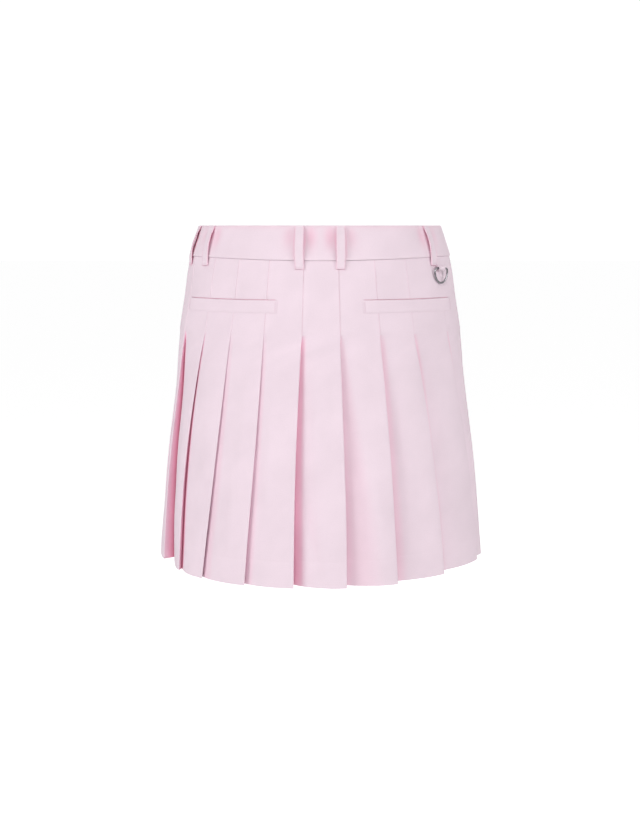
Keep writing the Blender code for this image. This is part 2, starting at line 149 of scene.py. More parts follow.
floor_mesh = bpy.data.meshes.new("floor")
floor_ring = [(FLOOR_RADIUS * math.cos(k * math.pi / 32), FLOOR_RADIUS * math.sin(k * math.pi / 32),
               -FLOOR_DROP) for k in range(64)]
floor_mesh.from_pydata(floor_ring, [], [tuple(range(64))])
floor = bpy.data.objects.new("floor", floor_mesh)
scene.collection.objects.link(floor)
floor_paint, floor_shader = new_finish("pale_floor", {
    "Base Color": (0.80, 0.80, 0.80, 1.0), "Roughness": 0.9, "Specular IOR Level": 0.1,
    "Emission Color": WHITE})
floor_tree = floor_paint.node_tree
floor_seen = floor_tree.nodes.new("ShaderNodeLightPath")
floor_lift = set_inputs(floor_tree.nodes.new("ShaderNodeMath"), {1: 0.62})
floor_lift.operation = "MULTIPLY"
floor_tree.links.new(floor_seen.outputs["Is Camera Ray"], floor_lift.inputs[0])
floor_tree.links.new(floor_lift.outputs["Value"], floor_shader.inputs["Emission Strength"])
floor_mesh.materials.append(floor_paint)


# ---- Skirt: back and front -----------------------------------------------------------------------
# Fine matt cotton twill, a smooth yoke over hips and seat, with twenty-two knife pleats that are
# stitched down as far as the hip and open from there. Each panel's fold, on the wearer's right,
# lies over the start of the next panel. The hem is turned up once and blind-stitched.
GAP = 0.0003
CLOTH = 0.0011
SHELL = 0.0007           # thickness that is drawn, a little under the solid's
BAND_HEIGHT, BAND_DIP = 0.0334, 0.0033
RELEASE, HEM = 0.113, 0.368
HEM_TURN = 0.026
HEM_RISES = (
    # degrees from the centre back, reach in degrees and how far the hem rises there, in metres
    (-88.0, 28.0, 0.010),
    (66.0, 30.0, 0.006),
)
FOLD_RADIUS = 0.0008
PLEAT_GROWTH = 0.53
VALLEY_LEAD, TUCK_SHARE = 0.0012, 0.12
STITCHED_STEP = 0.00045  # how far a stitched pleat stands over the cloth beside it
STEP_SPREAD = 0.0022     # over which it sinks again
# depth of the groove beside a stitched pleat, and the painted shade in it
GROOVE, GROOVE_PAINTED_SHADE = 0.0004, 0.16
FOLD_WAVER = 0.0006
PANEL_SWELL, PANEL_RIPPLE = 0.0011, 0.0005
FORM = np.array((
    # drop, half_width, half_depth
    (0.000, 0.1325, 0.0900),
    (0.037, 0.1440, 0.1010),
    (0.080, 0.1505, 0.1100),
    (0.113, 0.1555, 0.1170),
    (0.172, 0.1610, 0.1260),
    (0.252, 0.1705, 0.1390),
    (0.368, 0.1800, 0.1520),
))
PLEATS = (
    # arc of the fold at the release and at the hem, how far its middle strays from straight, depth
    # of the valley and how far it is hidden behind the fold, in mm, and how fast the panel rises;
    # reach of the fold's painted shade on the next panel above and at the hem, in mm, its strength,
    # and how dark the painted shade gets inside the fold
    (-410.5, -499.0, -5.8, 15.0, 4.0, 1.5, 4.0, 10.0, 0.20, 0.8),
    (-371.5, -450.0, -5.3, 15.0, 4.0, 1.5, 3.0, 7.0, 0.20, 0.8),
    (-333.0, -403.0, -4.7, 14.0, 4.0, 1.5, 4.0, 14.0, 0.18, 0.8),
    (-296.0, -358.0, -4.2, 14.0, 5.0, 1.5, 3.0, 8.0, 0.20, 0.8),
    (-259.0, -313.0, -3.6, 13.0, 5.0, 1.5, 3.0, 6.0, 0.20, 0.8),
    (-222.0, -272.0, -3.5, 12.0, 5.0, 1.5, 2.0, 4.0, 0.15, 0.8),
    (-175.0, -211.0, -9.0, 14.0, 3.0, 1.5, 1.5, 4.0, 1.00, 1.0),
    (-133.2, -171.2, -8.4, 7.0, 5.0, 2.5, 0.8, 1.2, 0.90, 1.0),
    (-97.8, -132.5, -0.4, 7.0, 6.0, 3.8, 3.0, 9.0, 0.15, 0.20),
    (-59.5, -79.8, 0.6, 8.0, 4.5, 3.8, 3.0, 6.0, 0.14, 0.25),
    (-19.1, -27.9, -1.3, 17.0, 3.0, 2.1, 3.5, 8.0, 0.36, 0.55),
    (20.6, 27.6, 0.8, 15.0, 3.0, 1.8, 3.0, 30.0, 0.12, 0.4),
    (63.0, 82.7, 1.8, 15.0, 5.0, 1.5, 5.0, 12.0, 0.18, 0.5),
    (103.0, 141.5, 5.6, 14.0, 5.0, 1.5, 4.0, 9.0, 0.24, 0.6),
    (153.5, 214.0, 8.0, 13.0, 5.0, 1.5, 4.0, 8.0, 0.34, 0.8),
    (190.0, 254.0, 4.0, 12.0, 5.0, 1.5, 3.0, 7.0, 0.20, 0.8),
    (223.0, 289.0, 3.4, 12.0, 5.0, 1.5, 3.0, 12.0, 0.20, 0.8),
    (258.0, 326.0, 3.7, 13.0, 5.0, 1.5, 4.0, 8.0, 0.20, 0.8),
    (295.0, 366.5, 4.2, 14.0, 5.0, 1.5, 3.0, 15.0, 0.18, 0.8),
    (332.5, 409.0, 4.7, 14.0, 4.0, 1.5, 3.0, 8.0, 0.20, 0.8),
    (371.5, 453.0, 5.3, 15.0, 4.0, 1.5, 4.0, 12.0, 0.18, 0.8),
    (410.5, 499.0, 5.8, 15.0, 4.0, 1.5, 3.0, 9.0, 0.20, 0.8),
)
PANELS = (
    # name and the pleats inside which its two seams lie
    ("skirt_back_left", 5, 11),
    ("skirt_back_right", 11, 16),
    ("skirt_front_right", 16, 21),
    ("skirt_front_left", 21, 27),
)
FOLD_POINTS, UNDER_POINTS, PANEL_POINTS = 5, 3, 18
PLEAT_POINTS = 2 * FOLD_POINTS + UNDER_POINTS + PANEL_POINTS


def smooth_form():
    """The form's half-width and half-depth at every half millimetre of drop."""
    slopes = np.gradient(FORM[:, 1:], FORM[:, 0], axis=0)
    drops = np.arange(0.0, HEM + 0.0005, 0.0005)
    rows = np.clip(np.searchsorted(FORM[:, 0], drops) - 1, 0, len(FORM) - 2)
    span = (FORM[rows + 1, 0] - FORM[rows, 0])[:, None]
    t = np.clip((drops - FORM[rows, 0])[:, None] / span, 0.0, 1.0)
    shape = (2 * t ** 3 - 3 * t ** 2 + 1) * FORM[rows, 1:] + (3 * t ** 2 - 2 * t ** 3) * FORM[rows + 1, 1:]
    shape += ((t ** 3 - 2 * t ** 2 + t) * slopes[rows] + (t ** 3 - t ** 2) * slopes[rows + 1]) * span
    return drops, shape[:, 0], shape[:, 1]


FORM_DROPS, FORM_WIDTHS, FORM_DEPTHS = smooth_form()


def form_size(drop):
    """Half-width and half-depth of the form at a drop."""
    return np.interp(drop, FORM_DROPS, FORM_WIDTHS), np.interp(drop, FORM_DROPS, FORM_DEPTHS)


def on_form(drop, angle, lift):
    """Points at angles from the centre back, moved out from the form by lift."""
    drop, angle, lift = np.broadcast_arrays(drop, angle, lift)
    half_width, half_depth = form_size(drop)
    sine, cosine = np.sin(angle), np.cos(angle)
    length = np.hypot(half_depth * sine, half_width * cosine)
    x = half_width * sine + lift * half_depth * sine / length
    y = -half_depth * cosine - lift * half_width * cosine / length
    return np.stack((x, y, -drop), axis=-1)


def lengths_along(points):
    """Lengths from the start of a line of points to each of them."""
    return np.concatenate(([0.0], np.cumsum(np.linalg.norm(np.diff(points, axis=0), axis=1))))


def read_at(place, places, rows):
    """Rows of a table, read at places between their own."""
    return np.stack([np.interp(place, places, column) for column in rows.T], axis=-1)


def unit(vectors):
    """Vectors, one to a row, brought to length one."""
    return vectors / np.linalg.norm(vectors, axis=1)[:, None]


def girth_table(drop):
    """Angles from the centre back and the arc lengths that reach them at a drop."""
    angles = np.linspace(-math.pi, math.pi, 1441)
    arcs = lengths_along(on_form(drop, angles, 0.0))
    return angles, arcs - arcs[-1] / 2


def arc_to_angle(drop, arcs):
    """Angles of places given by their arc, on past the centre front too."""
    angles, lengths = girth_table(drop)
    whole = 2 * lengths[-1]
    turns = np.floor((np.asarray(arcs) + lengths[-1]) / whole)
    return np.interp(np.asarray(arcs) - turns * whole, lengths, angles)


def seam_drop(angle):
    """Drop of the waistband's lower edge, which dips at the centre back."""
    return BAND_HEIGHT + BAND_DIP * np.maximum(0.0, np.cos(angle)) ** 3


def offset_line(line, half, closed=False):
    """The two lines that run beside a flat line, half a wall to each side of it."""
    if closed:
        before, after = np.roll(line, 1, axis=0), np.roll(line, -1, axis=0)
    else:
        before = np.vstack((2 * line[0] - line[1], line[:-1]))
        after = np.vstack((line[1:], 2 * line[-1] - line[-2]))
    into = unit(line - before)
    tangent = unit(into + unit(after - line))
    normal = np.column_stack((tangent[:, 1], -tangent[:, 0]))
    reach = np.asarray(half) / np.clip(np.sum(into * tangent, axis=1), 0.8, 1.0)
    return line + normal * reach[:, None], line - normal * reach[:, None]


def new_piece(name, points, faces, finish):
    """A smooth mesh of one finish, linked to the scene."""
    mesh = bpy.data.meshes.new(name)
    mesh.from_pydata(points, [], faces)
    mesh.shade_smooth()
    mesh.materials.append(finish)
    made = bpy.data.objects.new(name, mesh)
    scene.collection.objects.link(made)
    return made


RIB_TURN = 6.2832        # one rib for each turn of a sine
WARP_TURN = 9.3          # the warp threads lie closer than the ribs
RIB_SLANT = 1.6


def twill_group():
    """Node group: the weave's height, a faint unevenness of colour and the light fuzz of cotton."""
    group = bpy.data.node_groups.new("twill_weave", "ShaderNodeTree")
    for name, way, kind in (("Colour", "INPUT", "Color"), ("Rib pitch", "INPUT", "Float"),
                            ("Unevenness", "INPUT", "Float"), ("Colour", "OUTPUT", "Color"),
                            ("Height", "OUTPUT", "Float"), ("Roughness", "OUTPUT", "Float")):
        group.interface.new_socket(name, in_out=way, socket_type="NodeSocket" + kind)
    nodes, links = group.nodes, group.links
    given = nodes.new("NodeGroupInput")
    result = nodes.new("NodeGroupOutput")
    laid = nodes.new("ShaderNodeUVMap")
    laid.uv_map = "weave"
    split = nodes.new("ShaderNodeSeparateXYZ")
    links.new(laid.outputs["UV"], split.inputs["Vector"])

    def maths(kind, first, second):
        """One math node on two values or sockets."""
        node = nodes.new("ShaderNodeMath")
        node.operation = kind
        for socket, value in zip(node.inputs, (first, second)):
            if isinstance(value, (int, float)):
                socket.default_value = value
            elif value is not None:
                links.new(value, socket)
        return node.outputs["Value"]

    diagonal = maths("ADD", split.outputs["X"], maths("MULTIPLY", split.outputs["Y"], RIB_SLANT))
    ribs = maths("DIVIDE", diagonal, given.outputs["Rib pitch"])
    ribs = maths("SINE", maths("MULTIPLY", ribs, RIB_TURN), None)
    across = maths("DIVIDE", split.outputs["X"], given.outputs["Rib pitch"])
    threads = maths("SINE", maths("MULTIPLY", across, WARP_TURN), None)
    blotch = set_inputs(nodes.new("ShaderNodeTexNoise"), {"Scale": 22.0, "Detail": 3.0})
    links.new(laid.outputs["UV"], blotch.inputs["Vector"])
    slub = set_inputs(nodes.new("ShaderNodeTexNoise"), {"Scale": 900.0, "Detail": 2.0})
    links.new(laid.outputs["UV"], slub.inputs["Vector"])
    weave = maths("ADD", ribs, maths("MULTIPLY", threads, 0.35))
    links.new(maths("ADD", weave, slub.outputs["Fac"]), result.inputs["Height"])
    mottled = maths("MULTIPLY", maths("SUBTRACT", blotch.outputs["Fac"], 0.5), given.outputs["Unevenness"])
    grain = maths("MULTIPLY", maths("SUBTRACT", slub.outputs["Fac"], 0.5),
                  maths("MULTIPLY", given.outputs["Unevenness"], 0.5))
    value = maths("ADD", 1.0, maths("ADD", mottled, grain))
    tint = nodes.new("ShaderNodeHueSaturation")
    links.new(given.outputs["Colour"], tint.inputs["Color"])
    links.new(value, tint.inputs["Value"])
    links.new(tint.outputs["Color"], result.inputs["Colour"])
    polish = maths("MULTIPLY", slub.outputs["Fac"], 0.16)
    links.new(maths("SUBTRACT", 0.86, polish), result.inputs["Roughness"])
    return group


TWILL_WEAVE = twill_group()


def twill(name, tones, pitch=0.0009, relief=0.10, unevenness=0.15):
    """A matt cotton twill with painted shade, from its tone in the open to its tone deep in a fold."""
    made, shader = new_finish(name, {"Specular IOR Level": 0.22, "Sheen Weight": 0.08,
                                     "Sheen Roughness": 0.5})
    nodes, links = made.node_tree.nodes, made.node_tree.links
    weave = nodes.new("ShaderNodeGroup")
    weave.node_tree = TWILL_WEAVE
    set_inputs(weave, {"Rib pitch": pitch, "Unevenness": unevenness})
    bump = set_inputs(nodes.new("ShaderNodeBump"), {"Strength": relief, "Distance": 0.00012})
    # painted shade: each point's share of fold shade darkens the colour along the ramp
    fold = nodes.new("ShaderNodeAttribute")
    fold.attribute_name = "painted_fold_shade"
    painted_shade_ramp = colour_ramp(nodes, *tones)
    links.new(fold.outputs["Fac"], painted_shade_ramp.inputs["Fac"])
    links.new(painted_shade_ramp.outputs["Color"], weave.inputs["Colour"])
    links.new(weave.outputs["Colour"], shader.inputs["Base Color"])
    links.new(weave.outputs["Roughness"], shader.inputs["Roughness"])
    links.new(weave.outputs["Height"], bump.inputs["Height"])
    links.new(bump.outputs["Normal"], shader.inputs["Normal"])
    return made


PINK = (0.845, 0.700, 0.775)
# painted shade: darker, redder pinks stand in for the shade inside folds and recesses, lit only by light
# thrown back from the same cloth
PAINTED_SHADE_PINK = (0.90, 0.47, 0.61)
PAINTED_DEEP_SHADE_PINK = (0.62, 0.20, 0.31)
skirt_cloth = twill("pink_twill", ((0.0, PINK), (0.6, PAINTED_SHADE_PINK), (1.0, PAINTED_DEEP_SHADE_PINK)))


def cloth_object(name, outer, inner, along, across=None, depth=0.0, inner_depth=None):
    """A closed cloth wall between two grids of points, with its weave laid out in metres.

    across is measured along the rows of the outer grid if it isn't given. depth, from 0 to 1, is
    painted shade: it darkens the colour where the cloth lies inside a fold or in another recess, where
    light only comes after it has been thrown back by more of the same cloth. The inner face takes its
    own painted shade if one is given.
    """
    rows, columns = outer.shape[:2]
    under = rows * columns
    points = np.concatenate((outer.reshape(-1, 3), inner.reshape(-1, 3)))
    r, c = np.meshgrid(np.arange(rows - 1), np.arange(columns - 1), indexing="ij")
    a = (r * columns + c).ravel()
    quads = [np.column_stack((a, a + columns, a + columns + 1, a + 1))]
    quads.append(under + quads[0][:, ::-1])
    border = list(range(columns)) + [k * columns + columns - 1 for k in range(1, rows)]
    border += [(rows - 1) * columns + k for k in range(columns - 2, -1, -1)]
    border += [k * columns for k in range(rows - 2, 0, -1)]
    border = np.array(border)
    following = np.roll(border, -1)
    quads.append(np.column_stack((border, following, under + following, under + border)))
    faces = np.concatenate(quads)
    p, q, r, s = (points[faces[:, k]] for k in range(4))
    if np.sum(p * (np.cross(q, r) + np.cross(r, s))) < 0.0:
        faces = faces[:, ::-1]
    made = new_piece(name, points.tolist(), faces.tolist(), skirt_cloth)
    mesh = made.data
    if across is None:
        across = np.cumsum(np.linalg.norm(np.diff(outer, axis=1, prepend=outer[:, :1]), axis=2), axis=1)
    flat = np.column_stack([np.broadcast_to(place, (rows, columns)).ravel() for place in (across, along)])
    flat = np.concatenate((flat, flat))
    layer = mesh.uv_layers.new(name="weave")
    layer.data.foreach_set("uv", flat[faces.ravel()].ravel())
    # painted shade for each point, outer face first
    painted_shade_layer = mesh.attributes.new("painted_fold_shade", "FLOAT", "POINT")
    tones = [np.broadcast_to(value, (rows, columns)).ravel()
             for value in (depth, depth if inner_depth is None else inner_depth)]
    painted_shade_layer.data.foreach_set("value", np.concatenate(tones).astype(np.float32))
    mesh.set_sharp_from_angle(angle=math.radians(50.0))
    return made


def round_fold(corner, before, after, radius):
    """Points that round a corner, from flat directions before and after it."""
    near, far = corner - radius * before, corner + radius * after
    t = np.linspace(0.0, 1.0, FOLD_POINTS)[:, None]
    return (1 - t) ** 2 * near + 2 * t * (1 - t) * corner + t ** 2 * far


CREASES = (
    # panel, places across it at the top and the bottom, drops of the ends, width, depth in mm
    (5, 0.50, 0.60, 0.18, 0.33, 0.16, 1.0),
    (6, 0.45, 0.52, 0.17, 0.33, 0.18, 0.9),
    (7, 0.52, 0.40, 0.20, 0.34, 0.15, 0.9),
    (8, 0.30, 0.52, 0.22, 0.37, 0.12, 1.5),
    (8, 0.72, 0.66, 0.16, 0.29, 0.13, -0.8),
    (9, 0.20, 0.24, 0.20, 0.34, 0.11, 1.4),
    (9, 0.62, 0.50, 0.17, 0.30, 0.16, 0.9),
    (10, 0.20, 0.56, 0.27, 0.375, 0.10, 1.9),
    (10, 0.72, 0.60, 0.15, 0.30, 0.15, 0.9),
    (10, 0.40, 0.36, 0.13, 0.24, 0.15, -0.7),
    (11, 0.26, 0.55, 0.19, 0.40, 0.13, 2.2),
    (11, 0.74, 0.72, 0.24, 0.36, 0.11, -0.9),
    (12, 0.20, 0.30, 0.15, 0.31, 0.13, 1.7),
    (12, 0.66, 0.60, 0.22, 0.37, 0.13, 1.0),
    (13, 0.24, 0.30, 0.14, 0.31, 0.14, 1.6),
    (13, 0.68, 0.74, 0.16, 0.30, 0.14, -0.8),
    (14, 0.40, 0.52, 0.17, 0.34, 0.16, 1.1),
    (15, 0.52, 0.40, 0.15, 0.31, 0.16, 1.2),
    (16, 0.30, 0.50, 0.20, 0.36, 0.14, 1.4),
    (17, 0.62, 0.55, 0.14, 0.29, 0.15, 1.0),
    (18, 0.28, 0.44, 0.18, 0.35, 0.13, 1.5),
    (19, 0.50, 0.36, 0.22, 0.37, 0.15, 1.1),
    (20, 0.34, 0.52, 0.16, 0.32, 0.13, 1.5),
    (21, 0.55, 0.45, 0.15, 0.30, 0.16, 1.0),
    (0, 0.30, 0.48, 0.20, 0.38, 0.13, 1.6),
    (1, 0.60, 0.52, 0.15, 0.31, 0.15, 1.0),
    (2, 0.28, 0.42, 0.19, 0.35, 0.13, 1.4),
    (3, 0.52, 0.40, 0.16, 0.30, 0.15, 1.1),
    (4, 0.34, 0.50, 0.20, 0.36, 0.14, 1.3),
)


def crease_lift(panel, v, drop):
    """How far the soft troughs of a panel sink its cloth at places v across it."""
    lift = np.zeros_like(v)
    for owner, v_top, v_low, top, low, width, depth in CREASES:
        share = (drop - top) / (low - top)
        if owner == panel and 0.0 < share < 1.0:
            centre = v_top + share * (v_low - v_top)
            lift -= depth / 1000 * math.sin(math.pi * share) ** 1.5 * np.exp(-((v - centre) / width) ** 2)
    return lift


def pleat_line(drop):
    """The whole girth's cloth at a drop, as (arc, lift) points, and the painted fold shade of each."""
    open_share = max(0.0, (drop - RELEASE) / (HEM - RELEASE))
    growth = open_share ** PLEAT_GROWTH
    lengths = girth_table(drop)[1]
    whole = 2 * lengths[-1]
    shrink = lengths[-1] / girth_table(RELEASE)[1][-1] if drop < RELEASE else 1.0
    tucked = min(1.0, open_share / TUCK_SHARE)
    flat = np.array((1.0, 0.0))
    folds, valleys = [], []
    for n, (release, hem, bow, depth, tuck) in enumerate(pleat[:5] for pleat in PLEATS):
        arc = (1 - open_share) * release * shrink + open_share * hem
        arc = (arc + 4 * open_share * (1 - open_share) * bow) / 1000
        arc += FOLD_WAVER * open_share * math.sin(1.9 * n + 21.0 * drop)
        past = (1 - tucked) * VALLEY_LEAD - tucked * tuck / 1000
        folds.append(np.array((arc, 0.0)))
        valleys.append(np.array((arc + past, -growth * depth / 1000)))
    folds.append(folds[0] + whole * flat)
    parts, painted_shades = [], []
    for n, (fold, valley, next_fold) in enumerate(zip(folds, valleys, folds[1:])):
        ease, reach_above, reach_below, shade, darkest_painted_shade = PLEATS[n][5:]
        if growth > 0.0:
            under = valley - fold
            radius = min(FOLD_RADIUS, 0.36 * np.linalg.norm(under))
            under = under / np.linalg.norm(under)
            rise = np.array((next_fold[0] - valley[0], -ease * valley[1]))
            rise /= np.linalg.norm(rise)
            over = round_fold(fold, flat, under, radius)
            down = round_fold(valley, under, rise, radius)
            t = np.linspace(0.0, 1.0, UNDER_POINTS + 2)[1:-1, None]
            parts += [over, over[-1] + t * (down[0] - over[-1]), down]
        else:
            steps = FOLD_RADIUS * np.linspace(-1.0, 4.2, 2 * FOLD_POINTS + UNDER_POINTS)
            parts.append(fold + steps[:, None] * flat)
        start, end = parts[-1][-1], next_fold - FOLD_RADIUS * flat
        v = np.linspace(0.0, 1.0, PANEL_POINTS + 2)[1:-1] ** 1.35
        lift = start[1] * (1 - v) ** ease
        lift += PANEL_SWELL * growth * np.sin(math.pi * v) * math.sin(2.3 * n + 26.0 * drop)
        lift += PANEL_RIPPLE * growth * np.sin(math.pi * v) * np.sin(3.1 * n + 58.0 * drop + 5.0 * v)
        lift += crease_lift(n, v, drop)
        parts.append(np.column_stack((start[0] + v * (end[0] - start[0]), lift)))
        # painted shade: darkest in the fold and its valley, fading across the start of the next panel
        reach = (reach_above + open_share * (reach_below - reach_above)) / 1000
        fade = np.clip((parts[-1][:, 0] - fold[0]) / reach - 0.6, 0.0, 1.0)
        inside = darkest_painted_shade * np.linspace(0.0, 1.0, FOLD_POINTS + UNDER_POINTS + 1) ** 1.8
        inside = np.concatenate((inside, np.full(FOLD_POINTS - 1, darkest_painted_shade),
                                 shade * (1 - fade * fade * (3 - 2 * fade))))
        painted_shades.append(inside * min(1.0, -valley[1] / 0.003))
    line, depth = np.concatenate(parts), np.concatenate(painted_shades)
    if growth < 0.2:
        held = 1 - growth / 0.2
        for fold in folds:
            behind = fold[0] - line[:, 0]
            step = held * STITCHED_STEP * np.exp(-np.abs(behind) / STEP_SPREAD)
            line[:, 1] += np.where(behind > -0.0001, step, 0.0)
            clear = held * math.exp(-(max(0.0, abs(fold[0] - 0.02) - 0.03) / 0.07) ** 2)
            groove = (0.4 * held + 0.6 * clear) * np.exp(-((behind + 0.0005) / GROOVE) ** 2)
            line[:, 1] -= GROOVE * groove
            # painted shade in the groove
            depth = np.maximum(depth, GROOVE_PAINTED_SHADE * groove)
    return line, depth


POCKET_SLIT = (0.0770, 0.0775)           # drops between which the pocket's mouth gapes
POCKET_INNER, POCKET_OUTER = 18.0, 67.8  # degrees from the centre back
# how far the pocket's mouth sinks, and the painted shade in it
SLIT_DEPTH, SLIT_PAINTED_SHADE = 0.0012, 0.38
HEM_DENT, HEM_BULK = 0.00008, 0.00006    # of the blind stitches' line and of the turned cloth below it


def skirt_grids():
    """Outer and inner points, drops and painted fold shade of the whole skirt's cloth."""
    slit = POCKET_SLIT
    yoke = [None, 0.0385, 0.0405, 0.0440, 0.0490, 0.0550, 0.0620, 0.0690, 0.0740, 0.0758]
    yoke += [slit[0] - 0.0001, slit[0], slit[1], slit[1] + 0.0001]
    yoke += [0.0800, 0.0850, 0.0920, 0.1000, 0.1070]
    below = RELEASE + (HEM - RELEASE) * np.linspace(0.0, 1.0, 48) ** 1.25
    hem_line = HEM - HEM_TURN
    below = np.sort(np.concatenate((below, (hem_line - 0.0008, hem_line, hem_line + 0.0008))))
    rows = {"outer": [], "inner": [], "along": [], "depth": []}
    for drop in yoke + list(below):
        nominal = BAND_HEIGHT if drop is None else drop
        line, depth = pleat_line(nominal)
        angles = arc_to_angle(nominal, line[:, 0])
        if drop is None:
            drops = seam_drop(angles) + GAP
        else:
            rise = sum(most * np.exp(-((np.degrees(angles) - at) / reach) ** 2)
                       for at, reach, most in HEM_RISES)
            drops = drop - rise * max(0.0, (drop - RELEASE) / (HEM - RELEASE)) ** 2
        lifts = line[:, 1] - CLOTH / 2
        lifts = lifts - HEM_DENT * (abs(nominal - hem_line) < 0.0004)
        # the pocket's mouth is sunk and darkened with painted shade
        if slit[0] <= nominal <= slit[1]:
            away = np.degrees(np.abs(angles))
            in_mouth = (away > POCKET_INNER) & (away < POCKET_OUTER)
            lifts = lifts - SLIT_DEPTH * in_mouth
            depth = np.maximum(depth, SLIT_PAINTED_SHADE * in_mouth)
        middle = on_form(drops, angles, lifts)
        half = SHELL / 2 + (HEM_BULK if nominal > hem_line else 0.0)
        sides = offset_line(middle[:, :2], half, closed=True)
        for key, side in zip(("outer", "inner"), sides):
            rows[key].append(np.column_stack((side, -drops)))
        rows["along"].append(drops)
        rows["depth"].append(depth)
    return {key: np.array(value) for key, value in rows.items()}


skirt = skirt_grids()
seam_column = FOLD_POINTS + UNDER_POINTS // 2
all_columns = len(PLEATS) * PLEAT_POINTS
skirt_cuts = {
    # width of the cloth at the hem and length in metres, and the area of its tapered outline
    "skirt_back_left": (0.408, 0.338, 0.109),
    "skirt_back_right": (0.351, 0.338, 0.092),
    "skirt_front_right": (0.304, 0.338, 0.083),
    "skirt_front_left": (0.386, 0.338, 0.102),
}
for name, first, last in PANELS:
    span = np.arange(first * PLEAT_POINTS + seam_column, last * PLEAT_POINTS + seam_column + 1) % all_columns
    grids = {key: value[:, span].copy() for key, value in skirt.items()}
    for side in ("outer", "inner"):
        grid = grids[side]
        for end, beside in ((0, 1), (-1, -2)):
            grid[:, end] += unit(grid[:, beside] - grid[:, end]) * GAP / 10
    piece = cloth_object("cloth_" + name, **grids)
    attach(piece, "garment")
    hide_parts(name)
    width, length, area = skirt_cuts[name]


# ---- Machine stitches ----------------------------------------------------------------------------
# Rows of pink sewing thread where a line of stitches shows: ends of loops, ends of welts, the fly
# and the button. Each stitch is a short hump of thread that dips into the cloth at its ends.
THREAD_RADIUS, THREAD_SIDES = 0.00016, 5
thread_paint, thread_shader = new_finish("sewing_thread", {"Roughness": 0.55})
mottle(thread_paint, thread_shader, 2500.0, (0.70, 0.47, 0.58), (0.86, 0.68, 0.76))


def tube_faces(rings, sides, closed=False):
    """Faces between the rings of points that follow each other along a tube."""
    faces, whole = [], rings * sides
    for ring in range(rings if closed else rings - 1):
        for k in range(sides):
            a, b = ring * sides + k, ring * sides + (k + 1) % sides
            faces.append((a, b, (b + sides) % whole, (a + sides) % whole))
    return faces


def stitch_row(name, drops, angles, lift, pitch=0.0026, radius=THREAD_RADIUS):
    """A row of stitches along a line on the garment, from its points' drops and angles."""
    points = on_form(drops, angles, lift)
    away = unit(on_form(drops, angles, lift + 0.001) - points)
    lengths = lengths_along(points)
    count = max(1, round(lengths[-1] / pitch))
    vertices, faces = [], []
    for n in range(count):
        first = len(vertices)
        faces += [tuple(first + corner for corner in face) for face in tube_faces(4, THREAD_SIDES)]
        for m, share in enumerate((0.06, 0.28, 0.72, 0.94)):
            at = (n + share) * lengths[-1] / count
            behind, centre, ahead = read_at(at + np.array((-1e-4, 0.0, 1e-4)), lengths, points)
            normal = read_at(at, lengths, away)
            along = (ahead - behind) / np.linalg.norm(ahead - behind)
            beside = np.cross(along, normal)
            high = radius * (0.9 if m in (1, 2) else -0.9)
            wide = radius * (1.0 if m in (1, 2) else 0.6)
            for k in range(THREAD_SIDES):
                turn = 2 * math.pi * k / THREAD_SIDES
                vertices.append(centre + normal * (high + wide * math.sin(turn))
                                + beside * wide * math.cos(turn))
    made = new_piece(name, [tuple(v) for v in vertices], faces, thread_paint)
    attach(made, "garment")


# ---- Back pocket welts ---------------------------------------------------------------------------
# A single welt of the same twill over the mouth of each back pocket. It is folded along its top
# edge, where the pocket opens behind it, and sewn down flat below and at both ends.
WELT_TOP, WELT_HEIGHT, WELT_THICK = 0.0777, 0.0134, 0.0012
WELT_INNER, WELT_OUTER = 17.2, 68.5


def lay_on(name, angles, drops, inner, outer, **tones):
    """A cloth piece that lies round the garment, from the lifts of its two faces."""
    return cloth_object(name, on_form(drops, angles, outer), on_form(drops, angles, inner), drops, **tones)


welt_shares = np.array((0.0, 0.02, 0.06, 0.12, 0.22, 0.36, 0.52, 0.68, 0.82, 0.93, 1.0))[:, None]
welt_rise = np.interp(welt_shares, (0.0, 0.02, 0.06, 0.12, 0.36, 0.82, 0.93, 1.0),
                      (0.55, 0.8, 0.95, 1.0, 0.75, 0.62, 0.50, 0.02))
for side, sign in (("left", -1), ("right", 1)):
    welt_angles = sign * np.radians(np.linspace(WELT_INNER, WELT_OUTER, 81))[None, :]
    ends = np.minimum(np.arange(81), np.arange(81)[::-1])[None, :]
    end_rise = np.interp(ends, (0, 1, 2), (0.4, 0.85, 1.0))
    waver = 1.0 + 0.05 * np.sin(9.0 * welt_angles + 2.0 * sign) * welt_shares
    welt = lay_on("welt_" + side, welt_angles, WELT_TOP + welt_shares * WELT_HEIGHT,
                  0.0, 0.0001 + 0.62 * WELT_THICK * welt_rise * end_rise * waver)
    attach(welt, "garment")
    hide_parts("pocket_welt_" + side)
    for end, at in (("inner", WELT_INNER + 0.7), ("outer", WELT_OUTER - 0.7)):
        down = WELT_TOP + np.linspace(0.0012, WELT_HEIGHT - 0.0008, 12)
        stitch_row(f"welt_stitch_{end}_{side}", down, np.full(12, sign * math.radians(at)),
                   GAP * 0.5 + 0.0006, pitch=0.0020)


# ---- Front fly -----------------------------------------------------------------------------------
# A flat placket over the front opening with a curved line of stitches, hidden in the photograph
# and made plainly, because the garment opens there.
FLY_WIDTH, FLY_END, FLY_THICK = 0.032, 0.111, 0.0012


def angle_across(drop, angle, distance):
    """The angle reached from another by a short distance along the girth."""
    half_width, half_depth = form_size(drop)
    return angle + distance / np.hypot(half_width * np.cos(angle), half_depth * np.sin(angle))


